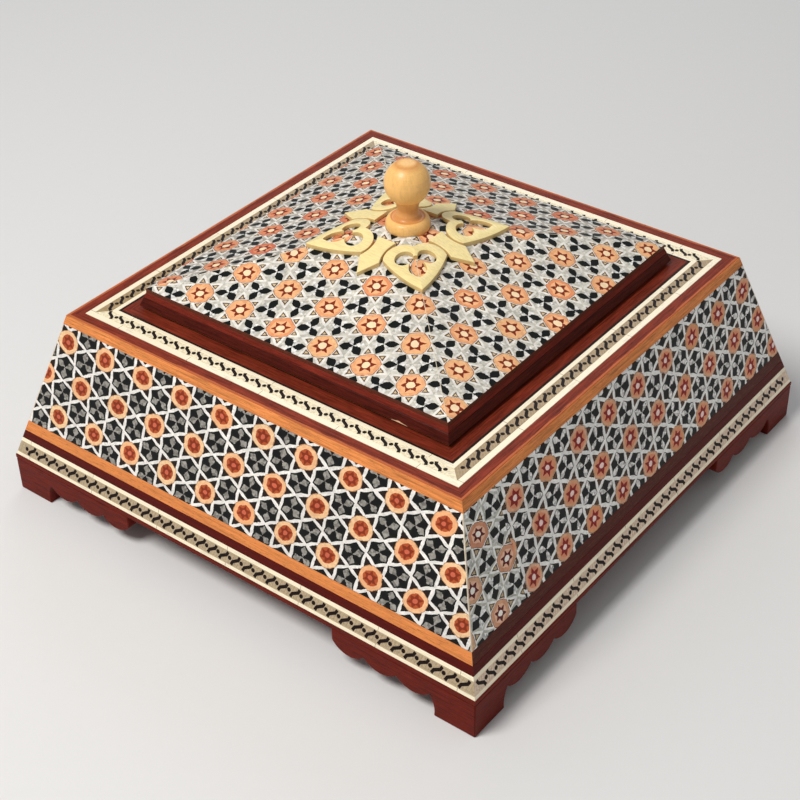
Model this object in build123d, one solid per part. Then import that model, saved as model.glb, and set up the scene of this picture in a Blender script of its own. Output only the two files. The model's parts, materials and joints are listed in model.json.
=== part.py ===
from build123d import *
from math import hypot, sqrt
import os

os.makedirs("parts", exist_ok=True)

# Box sizes, millimetres, Z up from the table
base_width = 200.0
rim_width = 164.0
rim_height = 71.5
foot_height = 13.7
base_board_thickness = 1.5
base_board_lip = 0.3
floor_panel_thickness = 2.0
wall_thickness = 6.0
rim_board_thickness = 3.5

# Inlay sheet and the strips below it, by their widths down the sloping wall
inlay_thickness = 1.5
upper_edge_width = 3.7
wall_inlay_width = 40.6
lower_edge_width = 4.1
dark_strip_width = 3.2
ivory_line_width = 1.8
wall_zigzag_width = 3.8

# Bands on the top of the rim, by their widths from the outer edge inwards
rim_border_width = 4.5
rim_outer_ivory_width = 2.2
rim_zigzag_width = 4.0
rim_inner_ivory_width = 1.6
rim_dark_line_width = 0.8
rim_lipping_width = 9.4

# Scalloped bracket feet
apron_length = 55.3
apron_thickness = 7.0
heel_length = 15.5
scallop_notch_height = 8.0
scallop_drop = 2.8
scallop_end_lift = 1.0
heel_curve_depth = 0.1
corner_block_leg = 13.0
corner_block_lift = 5.0

# Lid
lid_reveal = 4.1
lid_side_run = 2.1
lid_height = 25.4
lid_shadow_gap = 1.2
lid_gap_depth = 1.2
lid_side_height = 6.6
lid_frame_width = 4.5
lid_edge_strip_height = 1.9
lid_batten_width = 4.5
lid_batten_height = 3.5
lid_fit_clearance = 0.5

# Turned knob
knob_base_radius = 7.65
knob_base_height = 4.2
knob_dish_radius = 5.8
knob_neck_radius = 3.45
knob_collar_radius = 4.4
knob_head_radius = 7.8
knob_height = 24.3
knob_cap_radius = 2.2
knob_under_inset = 0.3
knob_dish_depth = 0.1
knob_spigot_radius = 3.0
knob_spigot_length = 9.0
knob_glue_gap = 0.1

# Fretted ornament on the lid, measured from the middle along each heart or leaf
fret_thickness = 1.6
fret_slit = 0.6
heart_tip = 34.4
heart_shoulder = 17.0
heart_half_width = 10.6
heart_back = 12.3
heart_cleft = 14.3
eye_distance = 18.6
eye_offset = 3.8
eye_radius = 3.1
drop_tip = 28.7
drop_half_width = 2.9
leaf_tip = 27.6
leaf_shoulder = 20.8
leaf_half_width = 4.1
leaf_neck_half_width = 2.8
leaf_root = 11.3
leaf_root_half_width = 3.8

SIDES = ("front", "right", "back", "left")
RUN_ENDS = {"front": ("left", "right"), "right": ("front", "back"),
            "back": ("right", "left"), "left": ("back", "front")}

# Levels and half widths that follow from the sizes above
rim_half = rim_width / 2
base_half = base_width / 2
border_inside = rim_half - rim_border_width
rim_bands = {"rim_outer_ivory": rim_outer_ivory_width, "rim_zigzag": rim_zigzag_width,
             "rim_inner_ivory": rim_inner_ivory_width, "rim_dark_line": rim_dark_line_width}
lipping_half = border_inside - sum(rim_bands.values())
opening_half = lipping_half - rim_lipping_width
base_top = foot_height + base_board_thickness
wall_foot_half = base_half - base_board_lip
wall_drop = rim_height - base_top
wall_run = wall_foot_half - rim_half
wall_length = hypot(wall_drop, wall_run)
wall_lean = wall_run / wall_drop
across = wall_length / wall_drop
rim_board_top = rim_height - inlay_thickness
rim_board_bottom = rim_board_top - rim_board_thickness
lid_half = lipping_half - lid_reveal
lid_top_half = lid_half - lid_side_run
roof_edge = rim_height + lid_shadow_gap + lid_side_height
roof_apex = rim_height + lid_height
roof_fall = (roof_apex - roof_edge) / lid_top_half
roof_sheet_height = inlay_thickness * hypot(1, roof_fall)
reach = base_width


def wall_half(z):
    return rim_half + (rim_height - z) * wall_lean


def wall_inside(z, depth):
    return wall_half(z) - depth * across


def down_wall(distance):
    return rim_height - distance * wall_drop / wall_length


def roof_z(half):
    return roof_apex - half * roof_fall


def side_bar(profile):
    """A bar along the front whose ends are mitred at the two corners; profile points are (half width, z)."""
    outline = Polyline([(-half, z) for half, z in profile], close=True)
    bar = extrude(Plane.YZ * make_face(outline), amount=reach, both=True)
    corner = Polyline([(0, 0), (-reach, -reach), (reach, -reach)], close=True)
    wedge = extrude(make_face(corner), amount=reach)
    return bar & wedge


def turned(piece, side):
    return Rot(0, 0, 90 * SIDES.index(side)) * piece


def four_sides(profile):
    bar = side_bar(profile)
    return [turned(bar, side) for side in SIDES]


def save(node, pieces):
    solids = []
    for piece in pieces if isinstance(pieces, list) else [pieces]:
        solids.extend(piece.solids())
    shape = solids[0] if len(solids) == 1 else Compound(solids)
    shape.label = node
    export_step(shape, f"parts/{node}.step")


def save_sides(name, profile):
    """One node for each side, such as wall_front."""
    for side, bar in zip(SIDES, four_sides(profile)):
        save(f"{name}_{side}", bar)


# Base board and the floor panel inside the walls
def square_board(half, bottom, height):
    return Pos(0, 0, bottom) * Box(2 * half, 2 * half, height, align=(Align.CENTER, Align.CENTER, Align.MIN))


floor_top = base_top + floor_panel_thickness
floor_half = wall_inside(floor_top, inlay_thickness + wall_thickness)
save("base_board", square_board(base_half, foot_height, base_board_thickness))
save("floor_panel", square_board(floor_half, base_top, floor_panel_thickness))


# Sloping walls with the rim rails on top of them
def wall_profile(top, bottom, outer_depth, inner_depth):
    return [(wall_inside(top, outer_depth), top), (wall_inside(bottom, outer_depth), bottom),
            (wall_inside(bottom, inner_depth), bottom), (wall_inside(top, inner_depth), top)]


save_sides("wall", wall_profile(rim_board_bottom, base_top, inlay_thickness, inlay_thickness + wall_thickness))
save_sides("rim_rail", [(wall_inside(rim_board_top, inlay_thickness), rim_board_top),
                        (wall_inside(rim_board_bottom, inlay_thickness), rim_board_bottom),
                        (opening_half, rim_board_bottom), (opening_half, rim_board_top)])

# Inlay sheets and strips on the walls, from the rim down to the base board
inlay_start = upper_edge_width
inlay_end = inlay_start + wall_inlay_width
band_widths = {"lower_edge_strips": lower_edge_width, "dark_strips": dark_strip_width,
               "upper_ivory_lines": ivory_line_width, "wall_zigzag_bands": wall_zigzag_width,
               "lower_ivory_lines": ivory_line_width}
band_scale = (wall_length - inlay_end) / sum(band_widths.values())

arris = (rim_half, rim_height)
arris_inside = (wall_inside(rim_board_top, inlay_thickness), rim_board_top)
strip_bottom = down_wall(upper_edge_width)
save("upper_edge_strips", four_sides([arris, (wall_half(strip_bottom), strip_bottom),
                                      (wall_inside(strip_bottom, inlay_thickness), strip_bottom), arris_inside]))
save_sides("inlay", wall_profile(down_wall(inlay_start), down_wall(inlay_end), 0, inlay_thickness))
start = inlay_end
for node, width in band_widths.items():
    end = start + width * band_scale
    save(node, four_sides(wall_profile(down_wall(start), down_wall(end), 0, inlay_thickness)))
    start = end

# Bands let into the top of the rim, from the outer edge to the opening
save("rim_border", four_sides([arris, arris_inside, (border_inside, rim_board_top), (border_inside, rim_height)]))


def flat_profile(outer_half, inner_half, bottom, top):
    return [(outer_half, top), (outer_half, bottom), (inner_half, bottom), (inner_half, top)]


outer = border_inside
for node, width in rim_bands.items():
    save(node, four_sides(flat_profile(outer, outer - width, rim_board_top, rim_height)))
    outer -= width
save("rim_lipping", four_sides(flat_profile(lipping_half, opening_half, rim_board_top, rim_height)))


# Bracket feet: two mitred scalloped aprons at each corner with a glue block behind them
def apron_outline():
    """The right-hand apron of the front, from the corner along the run; points are (x, z)."""
    heel = base_half - heel_length
    run = heel - (base_half - apron_length)
    first_notch = heel - 0.04 * run
    lobe = (first_notch - (base_half - apron_length)) / 3
    notches = [first_notch - lobe * step for step in range(4)]
    lobe_bottom = scallop_notch_height - scallop_drop
    heel_curve = ThreePointArc((heel, 0), (heel - heel_curve_depth, 0.55 * scallop_notch_height),
                               (notches[0], scallop_notch_height))
    lobes = [ThreePointArc((notches[i], scallop_notch_height),
                           ((notches[i] + notches[i + 1]) / 2, lobe_bottom),
                           (notches[i + 1], scallop_notch_height)) for i in range(2)]
    last_top = scallop_notch_height + scallop_end_lift
    last = ThreePointArc((notches[2], scallop_notch_height), (notches[2] - 0.55 * lobe, lobe_bottom),
                         (notches[3], last_top))
    rest = Polyline([(notches[3], last_top), (notches[3], foot_height),
                     (base_half, foot_height), (base_half, 0), (heel, 0)])
    return make_face([heel_curve, *lobes, last, rest])


def front_aprons():
    plate = extrude(Plane.XZ.offset(base_half - apron_thickness) * apron_outline(), amount=apron_thickness)
    corner = Polyline([(0, 0), (reach, 0), (reach, -reach)], close=True)
    plate -= extrude(make_face(corner), amount=reach)
    return [mirror(plate, Plane.YZ), plate]


for side in SIDES:
    for end, apron in zip(RUN_ENDS[side], front_aprons()):
        save(f"apron_{side}_{end}", turned(apron, side))


def corner_block():
    edge = base_half - apron_thickness
    leg = corner_block_leg
    outline = Polyline([(edge, -edge), (edge, leg - edge), (edge - leg, -edge)], close=True)
    return Pos(0, 0, corner_block_lift) * extrude(make_face(outline), amount=foot_height - corner_block_lift)


block = corner_block()
save("corner_blocks", [turned(block, side) for side in SIDES])

# Lid: a board that stands on the rim, a frame round it, a pyramid core and the inlay on its roof
lid_board_top = rim_height + lid_shadow_gap
core_half = lid_half - lid_frame_width
roof_under_edge = roof_edge - roof_sheet_height
side_run = (lid_half - lid_top_half) / (roof_under_edge - lid_board_top)
strip_base = roof_under_edge - lid_edge_strip_height
strip_base_half = lid_top_half + lid_edge_strip_height * side_run
knob_seat = roof_z(knob_base_radius)
seat_cut = Pos(0, 0, knob_seat) * Cylinder(knob_base_radius, lid_height,
                                           align=(Align.CENTER, Align.CENTER, Align.MIN))
spigot_hole = Pos(0, 0, knob_seat) * Cylinder(knob_spigot_radius + knob_glue_gap, 2 * knob_spigot_length)

save("lid_board", square_board(lid_half - lid_gap_depth, rim_height, lid_shadow_gap))
save_sides("lid_frame", [(lid_half, lid_board_top), (strip_base_half, strip_base),
                         (core_half, strip_base), (core_half, lid_board_top)])
save("lid_edge_strips", four_sides([(strip_base_half, strip_base), (lid_top_half, roof_under_edge),
                                    (core_half, roof_z(core_half) - roof_sheet_height),
                                    (core_half, strip_base)]))


def lid_core():
    eaves = roof_z(core_half) - roof_sheet_height
    quarter = side_bar([(0, lid_board_top), (core_half, lid_board_top), (core_half, eaves),
                        (0, roof_apex - roof_sheet_height)])
    core = quarter
    for side in SIDES[1:]:
        core += turned(quarter, side)
    return core - seat_cut - spigot_hole


save("lid_core", lid_core())
roof_sheet = side_bar([(0, roof_apex), (lid_top_half, roof_edge), (lid_top_half, roof_under_edge),
                       (0, roof_apex - roof_sheet_height)]) - seat_cut - spigot_hole
for side in SIDES:
    save(f"lid_inlay_{side}", turned(roof_sheet, side))

batten_half = opening_half - lid_fit_clearance
save("lid_battens", four_sides(flat_profile(batten_half, batten_half - lid_batten_width,
                                            rim_height - lid_batten_height, rim_height)))


# Ornament: heart frames on the four hips and small leaves between them, bent over the roof
def roof_layer():
    quarter = side_bar([(0, roof_apex), (lid_top_half, roof_edge), (lid_top_half, roof_edge + fret_thickness),
                        (0, roof_apex + fret_thickness)])
    layer = quarter
    for side in SIDES[1:]:
        layer += turned(quarter, side)
    return layer


def heart_face():
    """A heart that points along +X."""
    flank = Spline([(heart_tip, 0), (0.48 * heart_tip + 0.52 * heart_shoulder, 0.62 * heart_half_width),
                    (heart_shoulder, heart_half_width)])
    lobe = ThreePointArc((heart_shoulder, heart_half_width), (heart_back, 0.57 * heart_half_width),
                         (heart_cleft, 0))
    half = make_face([flank, lobe, Line((heart_cleft, 0), (heart_tip, 0))])
    return half + mirror(half, Plane.XZ)


def heart_opening():
    """Two round eyes that run together into a pointed drop."""
    throat = eye_distance + 0.6 * eye_radius
    middle = 0.5 * (throat + drop_tip)
    half = make_face([Line((eye_distance, 0), (eye_distance, eye_offset)),
                      Line((eye_distance, eye_offset), (throat, 0.6 * drop_half_width)),
                      Spline([(throat, 0.6 * drop_half_width), (middle, drop_half_width), (drop_tip, 0)]),
                      Line((drop_tip, 0), (eye_distance, 0))])
    hole = half + mirror(half, Plane.XZ)
    for offset_along in (-eye_offset, eye_offset):
        hole += Pos(eye_distance, offset_along) * Circle(eye_radius)
    return hole


def leaf_face():
    """A leaf along -Y between two hearts, with a waist and a pointed tip."""
    neck = 0.5 * (leaf_root + leaf_shoulder)
    edge = [(leaf_root_half_width, -leaf_root), (leaf_neck_half_width, -neck), (leaf_half_width, -leaf_shoulder)]
    half = make_face([Spline(edge), Line(edge[-1], (0, -leaf_tip)), Line((0, -leaf_tip), (0, -leaf_root)),
                      Line((0, -leaf_root), edge[0])])
    return half + mirror(half, Plane.YZ)


layer = roof_layer()
heart_blank = Rot(0, 0, -45) * extrude(heart_face() - heart_opening(), amount=reach)
hearts = [turned(heart_blank & layer, side) for side in SIDES]
heart_guard = extrude(offset(heart_face(), fret_slit), amount=reach)
leaf_blank = extrude(leaf_face(), amount=reach) - Rot(0, 0, -45) * heart_guard - Rot(0, 0, -135) * heart_guard
leaves = [turned(leaf_blank & layer, side) for side in SIDES]
save("fret_hearts", hearts)
save("fret_leaves", leaves)


# Knob: cushion base with a dished top, waisted neck, ball with a small flat on top, spigot below
def knob_profile():
    ball_centre = knob_height - sqrt(knob_head_radius ** 2 - knob_cap_radius ** 2)
    collar_z = ball_centre - sqrt(knob_head_radius ** 2 - knob_collar_radius ** 2)
    waist_z = 0.35 * collar_z + 0.65 * knob_base_height
    swell_z = 0.3 * knob_base_height
    under_radius = knob_base_radius - knob_under_inset
    equator = (knob_head_radius, ball_centre)
    spigot = Polyline([(0, -knob_spigot_length), (knob_spigot_radius, -knob_spigot_length),
                       (knob_spigot_radius, 0), (under_radius, 0)])
    cushion = Spline([(under_radius, 0), (knob_base_radius, swell_z),
                      (0.45 * knob_base_radius + 0.55 * knob_dish_radius, 0.86 * knob_base_height),
                      (knob_dish_radius, knob_base_height)])
    dish = Spline([(knob_dish_radius, knob_base_height),
                   (0.5 * (knob_dish_radius + knob_neck_radius), knob_base_height - knob_dish_depth),
                   (knob_neck_radius, waist_z), (knob_collar_radius, collar_z)])
    ball = ThreePointArc((knob_collar_radius, collar_z), equator, (knob_cap_radius, knob_height))
    close = Polyline([(knob_cap_radius, knob_height), (0, knob_height), (0, -knob_spigot_length)])
    return make_face([spigot, cushion, dish, ball, close])


knob = revolve(Plane.XZ * knob_profile(), Axis.Z)
save("knob", Pos(0, 0, knob_seat) * knob)
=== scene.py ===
"""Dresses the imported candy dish: its woods, bone lines, mosaic sheets, zigzag bands, fretwork and knob."""

import json
from dataclasses import dataclass, replace
from math import atan, cos, hypot, pi, radians, sin, sqrt

import bmesh
import bpy
from mathutils import Matrix, Vector

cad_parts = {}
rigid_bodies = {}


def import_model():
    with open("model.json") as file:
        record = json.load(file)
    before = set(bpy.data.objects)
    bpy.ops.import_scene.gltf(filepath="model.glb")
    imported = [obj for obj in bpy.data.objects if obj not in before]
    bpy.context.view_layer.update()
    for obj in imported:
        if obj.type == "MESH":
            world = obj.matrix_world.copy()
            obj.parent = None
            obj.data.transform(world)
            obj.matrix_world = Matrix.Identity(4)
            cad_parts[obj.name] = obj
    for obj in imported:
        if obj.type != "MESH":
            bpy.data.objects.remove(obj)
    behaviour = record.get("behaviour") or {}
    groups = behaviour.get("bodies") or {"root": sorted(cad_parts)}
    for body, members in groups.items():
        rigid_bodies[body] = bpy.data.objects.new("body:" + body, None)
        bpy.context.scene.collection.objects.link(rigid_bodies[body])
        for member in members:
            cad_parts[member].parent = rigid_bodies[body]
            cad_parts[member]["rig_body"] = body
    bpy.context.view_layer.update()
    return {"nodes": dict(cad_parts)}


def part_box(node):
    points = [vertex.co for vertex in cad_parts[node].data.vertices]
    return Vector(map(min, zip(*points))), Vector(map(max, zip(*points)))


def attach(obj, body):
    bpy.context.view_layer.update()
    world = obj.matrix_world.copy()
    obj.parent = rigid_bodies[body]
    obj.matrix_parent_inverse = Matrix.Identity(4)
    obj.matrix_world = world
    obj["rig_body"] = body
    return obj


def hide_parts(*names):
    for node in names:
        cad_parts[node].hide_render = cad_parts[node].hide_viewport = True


bl_info = {
    "name": "Inlaid candy dish",
    "version": (1, 0, 0),
    "blender": (4, 5, 0),
    "location": "3D View > Sidebar > Dish",
    "description": "Builds the looks of a square inlaid candy dish round its packed frame",
    "category": "Object",
}

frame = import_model()

MM = 0.001
SIDES = ("front", "right", "back", "left")
ROW_RISE = sqrt(3) / 2

# Levels and half widths read from the frame
rim_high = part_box("rim_border")[1]
RIM_TOP = rim_high.z
RIM_HALF = rim_high.x
foot_low, foot_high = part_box("lower_ivory_lines")
WALL_FOOT = foot_low.z
WALL_FOOT_HALF = foot_high.x
WALL_LEAN = (WALL_FOOT_HALF - RIM_HALF) / (RIM_TOP - WALL_FOOT)
WALL_STRETCH = hypot(1, WALL_LEAN)
band_low, band_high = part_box("wall_zigzag_bands")
rim_band_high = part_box("rim_zigzag")[1]
roof_low, roof_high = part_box("lid_inlay_front")

# How far the ground of the wall zigzag runs on over the bone line above and below it
BAND_SPREAD = 0.4 * MM

# Pattern and grain, with lengths in millimetres
RODS_ACROSS_FLOWER = 16.0
SHEET_WANDER = 0.1
ROD_SHIVER = 0.016
BONE_LENGTH = 31.0
BAND_BLOCKS_PER_MM = 0.79
X_SIDE_GRAIN_SHIFT = 61.0
X_SIDE_CLOUD_SHIFT = 40.0
X_SIDE_JOINT_SHIFT = 13.0
STROKE_WOBBLE = 0.05

# Studio
KEY_DIRECTION = (-0.14, -0.55, 0.85)
KEY_DISTANCE = 1.1
KEY_SIZE = 0.45
KEY_COLOUR = (1.0, 0.975, 0.94)
BACK_LAMP_OFFSET = (-0.5, 0.75, 0.7)
BACK_LAMP_SIZE = 0.6
BACK_LAMP_COLOUR = (0.93, 0.96, 1.0)
FLOOR_HALF = 4.0
SENSOR_WIDTH = 36.0


# Settings
def colour_setting(name, description, default):
    """A colour of a settings group."""
    return bpy.props.FloatVectorProperty(name=name, description=description, default=default, subtype="COLOR",
                                         size=3, min=0.0, max=1.0)


def length_setting(name, description, default):
    """A length of a settings group, in metres."""
    return bpy.props.FloatProperty(name=name, description=description, default=default, min=0.0,
                                   subtype="DISTANCE", unit="LENGTH", precision=5)


def shade(red, green, blue):
    """A display colour in 0 to 255 as scene-linear values."""
    parts = (value / 255 for value in (red, green, blue))
    return tuple(p / 12.92 if p <= 0.04045 else ((p + 0.055) / 1.055) ** 2.4 for p in parts)


class WoodSettings(bpy.types.PropertyGroup):
    """Colours of the plain woods and the bone."""

    orange: colour_setting("Orange strip", "Wood of the strips by the wall sheets", shade(226, 140, 78))
    dark_red: colour_setting("Dark red", "Stained wood of the rim border and lipping", shade(130, 50, 32))
    strip: colour_setting("Dark strip", "Stained strip above the lower bone line", shade(86, 15, 7))
    foot: colour_setting("Feet", "Stained wood of the bracket feet", shade(104, 28, 15))
    lid: colour_setting("Lid frame", "Stained wood round the lid", shade(78, 24, 15))
    carcass: colour_setting("Carcass", "Plain wood inside the dish", shade(170, 126, 84))
    knob: colour_setting("Knob", "Turned honey-coloured wood", shade(252, 198, 120))
    fret: colour_setting("Fretwork", "Pale sawn wood of the hearts and leaves", shade(255, 234, 166))
    bone: colour_setting("Bone", "Polished bone of the fine lines", shade(255, 243, 212))


class MosaicSettings(bpy.types.PropertyGroup):
    """Sizes of the mosaic sheets and the zigzag bands."""

    spacing: length_setting("Flower spacing", "Distance between neighbouring flowers along a row", 17.5 * MM)
    wall_row: length_setting("Wall rows", "Distance between rows of flowers down the wall", 14.0 * MM)
    lid_row: length_setting("Lid rows", "Distance between rows of flowers on the lid", 14.0 * MM)
    zigzag_pitch: length_setting("Zigzag pitch", "Length of one stroke and dot of a zigzag band", 5.06 * MM)
    zigzag_proud: length_setting("Zigzag height", "How far the strokes stand above their band", 0.03 * MM)


class StageSettings(bpy.types.PropertyGroup):
    """Camera, floor and lamps."""

    camera_place: bpy.props.FloatVectorProperty(
        name="Camera place", description="Where the camera stands", default=(0.29987, -0.38294, 0.38236),
        subtype="TRANSLATION", unit="LENGTH")
    camera_turn: bpy.props.FloatVectorProperty(
        name="Camera turn", description="How the camera is turned", default=(0.9342306, 0.0194810, 0.6583207),
        subtype="EULER", unit="ROTATION")
    lens: bpy.props.FloatProperty(
        name="Lens", description="Focal length on a 36 mm sensor, in millimetres", default=75.87, min=10.0,
        unit="CAMERA")
    key_power: bpy.props.FloatProperty(
        name="Key lamp", description="Power of the main lamp in watts", default=9.0, min=0.0, unit="POWER")
    back_power: bpy.props.FloatProperty(
        name="Back lamp", description="Power of the lamp behind the dish in watts", default=1.6, min=0.0,
        unit="POWER")
    world_strength: bpy.props.FloatProperty(
        name="Sky", description="Strength of the even light from all round", default=0.32, min=0.0)
    floor: colour_setting("Floor", "Colour of the plain floor", (0.8, 0.8, 0.8))


# Shader maths
class Wire:
    """One output in a material's node tree; arithmetic on it adds Math nodes."""

    def __init__(self, finish, socket):
        self.finish = finish
        self.socket = socket

    def math(self, operation, *others):
        """This value and the others through one Math node."""
        values = dict(enumerate((self, *others)))
        return self.finish.node("ShaderNodeMath", {"operation": operation}, values)

    def __add__(self, other):
        return self.math("ADD", other)

    def __sub__(self, other):
        return self.math("SUBTRACT", other)

    def __rsub__(self, other):
        return self.finish.node("ShaderNodeMath", {"operation": "SUBTRACT"}, {0: other, 1: self})

    def __mul__(self, other):
        return self.math("MULTIPLY", other)

    def __truediv__(self, other):
        return self.math("DIVIDE", other)

    def __lt__(self, other):
        return self.math("LESS_THAN", other)

    def __gt__(self, other):
        return self.math("GREATER_THAN", other)

    def size(self):
        """Distance from zero."""
        return self.math("ABSOLUTE")

    def nearest(self):
        """The nearest whole number."""
        return self.math("ROUND")

    def larger(self, other):
        """The larger of two values."""
        return self.math("MAXIMUM", other)

    def smaller(self, other):
        """The smaller of two values."""
        return self.math("MINIMUM", other)

    def pick(self, when_one, when_zero):
        """One of two numbers, by this mask."""
        return when_zero + (when_one - when_zero) * self


class Finish:
    """A material with one glossy shader, and the node tree that feeds it."""

    def __init__(self, name, coat=0.0, coat_roughness=0.15, specular=0.5):
        self.material = bpy.data.materials.new(name)
        self.material.use_nodes = True
        self.tree = self.material.node_tree
        self.shader = self.tree.nodes["Principled BSDF"]
        self.shader.inputs["Coat Weight"].default_value = coat
        self.shader.inputs["Coat Roughness"].default_value = coat_roughness
        self.shader.inputs["Specular IOR Level"].default_value = specular

    def node(self, kind, settings=None, values=None, output=0):
        """Adds a node, applies its settings, then its socket values or links, and returns one output."""
        made = self.tree.nodes.new(kind)
        for name, setting in (settings or {}).items():
            if name == "stops":
                self.set_stops(made.color_ramp, setting)
            else:
                setattr(made, name, setting)
        for name, value in (values or {}).items():
            self.feed(made.inputs[name], value)
        return Wire(self, made.outputs[output])

    def set_stops(self, ramp, stops):
        """Gives a colour ramp its places and colours."""
        while len(ramp.elements) < len(stops):
            ramp.elements.new(1.0)
        for element, (place, colour) in zip(ramp.elements, stops):
            element.position = place
            element.color = (*colour, 1.0)

    def feed(self, socket, value):
        """Links a wire to a socket, or sets the socket to a plain value."""
        if isinstance(value, Wire):
            self.tree.links.new(value.socket, socket)
        elif socket.type == "RGBA" and len(value) == 3:
            socket.default_value = (*value, 1.0)
        else:
            socket.default_value = value

    def set(self, name, value):
        """Feeds one input of the glossy shader."""
        self.feed(self.shader.inputs[name], value)

    def place(self):
        """The point's own coordinates in the frame, in millimetres."""
        point = self.node("ShaderNodeTexCoord", output="Object")
        split = self.node("ShaderNodeSeparateXYZ", values={0: point})
        outputs = split.socket.node.outputs
        return [Wire(self, outputs[axis]) * (1 / MM) for axis in range(3)]

    def vector(self, x, y, z):
        """Three values as one point."""
        return self.node("ShaderNodeCombineXYZ", values={0: x, 1: y, 2: z})

    def noise(self, vector, scale, detail=3.0, roughness=0.55, distortion=0.0):
        """Soft random values from 0 to 1 round a half."""
        return self.node("ShaderNodeTexNoise", {"noise_dimensions": "3D"},
                         {"Vector": vector, "Scale": scale, "Detail": detail, "Roughness": roughness,
                          "Distortion": distortion})

    def blend(self, factor, below, above):
        """Lays one colour over another by a mask."""
        return self.node("ShaderNodeMix", {"data_type": "RGBA"}, {0: factor, 6: below, 7: above}, output=2)

    def ramp(self, factor, *stops):
        """A colour picked along the stops, each a place from 0 to 1 and a colour."""
        return self.node("ShaderNodeValToRGB", {"stops": stops}, {0: factor})

    def stretched(self, value, given, wanted):
        """A value in one range brought to another and held within it."""
        return self.node("ShaderNodeMapRange",
                         values={0: value, 1: given[0], 2: given[1], 3: wanted[0], 4: wanted[1]})

    def brightness(self, colour, value):
        """A colour made brighter or darker by a factor."""
        return self.node("ShaderNodeHueSaturation", values={"Color": colour, "Value": value})

    def bump(self, height, strength, depth):
        """Raises the surface by a height map, at most by the depth in metres."""
        values = {"Height": height, "Strength": strength, "Distance": depth}
        self.set("Normal", self.node("ShaderNodeBump", values=values))


def toned(colour, share):
    """A colour made darker by a share below one, or lighter by a share above it."""
    return tuple(part * share for part in colour)


def along_side(finish):
    """Coordinates on a four-sided piece: along its side, out from the middle and up.

    The last value is 1 on the right and left sides."""
    x, y, z = finish.place()
    on_x_side = x.size() > y.size()
    along = on_x_side.pick(y, x)
    out = x.size().larger(y.size())
    return along, out, z, on_x_side


# Finishes
def wood_finish(name, colour, grain, contrast, roughness=0.42, coat=0.048, side_colour=None, arris_highlight=None,
                chip=None):
    """Varnished wood whose grain runs along each side of the dish.

    The X sides may be of another colour, and a painted highlight may lighten the wood beyond a distance from
    the middle, along its outer arris.
    A chip shows bare wood at one place, given by its distance along the side and its height."""
    finish = Finish(name, coat, coat_roughness=0.2, specular=0.08)
    along, out, up, on_x_side = along_side(finish)
    run = along + on_x_side * X_SIDE_GRAIN_SHIFT
    coarse = finish.noise(finish.vector(run * 0.045, out * 0.7, up * 0.7), 1.3 * grain, 3.0, 0.6, 0.8)
    streaks = finish.noise(finish.vector(run * 0.05, out * 1.5, up * 1.5), grain, 3.0, 0.75)
    pores = finish.noise(finish.vector(run * 0.4, out * 5.0, up * 5.0), 1.0, 2.0, 0.6)
    tone = coarse * 0.45 + streaks * 0.55
    shown = colour if side_colour is None else finish.blend(on_x_side, colour, side_colour)
    paint = finish.brightness(shown, finish.stretched(tone, (0.3, 0.7), (1 - contrast, 1 + contrast)))
    pore_mask = (pores < 0.38) * 0.5
    paint = finish.blend(pore_mask, paint, toned(colour, 0.25))
    if arris_highlight:
        # Painted highlight: a pale orange band along the outer arris where the lamp catches the edge, its
        # border wavering with the grain.
        highlight_start, highlight_colour = arris_highlight
        paint = finish.blend((out + (streaks - 0.5) * 2.0 > highlight_start) * 0.65, paint, highlight_colour)
    if chip:
        chip_along, chip_height = chip
        facing_front = finish.place()[1] < 0.0
        near = ((along - chip_along).size() * 0.16 + (up - chip_height).size() * 1.1 + streaks * 0.9) < 1.05
        paint = finish.blend(near * (1.0 - on_x_side) * facing_front * 0.9, paint, shade(252, 208, 168))
    finish.set("Base Color", paint)
    finish.set("Roughness", (pores * 0.3 + streaks * 0.15 + (roughness - 0.2)).smaller(1.0))
    finish.bump(streaks * 0.6 + pores * 0.4, 0.35, 0.0004)
    return finish.material


def turned_finish(name, colour):
    """Waxed turned wood with fine rings round the axis, with painted shade making it darker and warmer at the
    waist under the ball and in the dish of its foot.
    """
    finish = Finish(name, coat=0.18, coat_roughness=0.2, specular=0.35)
    x, y, z = finish.place()
    radius = (x * x + y * y).math("SQRT")
    grain = finish.noise(finish.vector(x * 0.5, y * 0.5, z * 0.07), 1.6, 4.0, 0.6, 1.0)
    rings = finish.noise(finish.vector(radius * 0.1, z * 3.0, x * 0.05), 1.5, 2.0, 0.5)
    paint = finish.ramp(grain * 0.7 + rings * 0.3, (0.3, toned(colour, 0.84)), (0.5, colour),
                        (0.72, toned(colour, 1.08)))
    neck_radius = 3.6
    dish_radius = 5.9
    ball_foot = 100.0
    # Painted shade: darker warm brown at the waist under the ball and in the hollow dish of the foot.
    waist = (1.0 - (radius - neck_radius).size() * 0.6).larger(0.0)
    dish = (radius < dish_radius) * (z < ball_foot)
    paint = finish.blend((waist * 0.55).larger(dish * 0.6), paint, shade(200, 112, 50))
    finish.set("Base Color", paint)
    finish.set("Roughness", grain * 0.2 + 0.3)
    finish.bump(rings, 0.15, 0.0002)
    return finish.material


def fret_finish(name, colour):
    """Pale sawn wood, a little darker on its sawn edges."""
    finish = Finish(name, coat=0.3, coat_roughness=0.2)
    x, y, z = finish.place()
    grain = finish.noise(finish.vector(x * 0.12, y * 0.9, z), 2.0, 4.0, 0.6)
    specks = finish.noise(finish.vector(x, y, z), 3.0, 2.0, 0.5)
    paint = finish.ramp(grain, (0.3, toned(colour, 0.84)), (0.55, colour), (0.75, toned(colour, 1.06)))
    normal = finish.node("ShaderNodeNewGeometry", output="Normal")
    up = finish.node("ShaderNodeSeparateXYZ", values={0: normal}, output=2)
    paint = finish.blend((up < 0.6) * 0.5, paint, shade(190, 140, 70))
    finish.set("Base Color", paint)
    finish.set("Roughness", specks * 0.25 + 0.32)
    finish.bump(grain * 0.5 + specks * 0.5, 0.2, 0.0003)
    return finish.material


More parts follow.
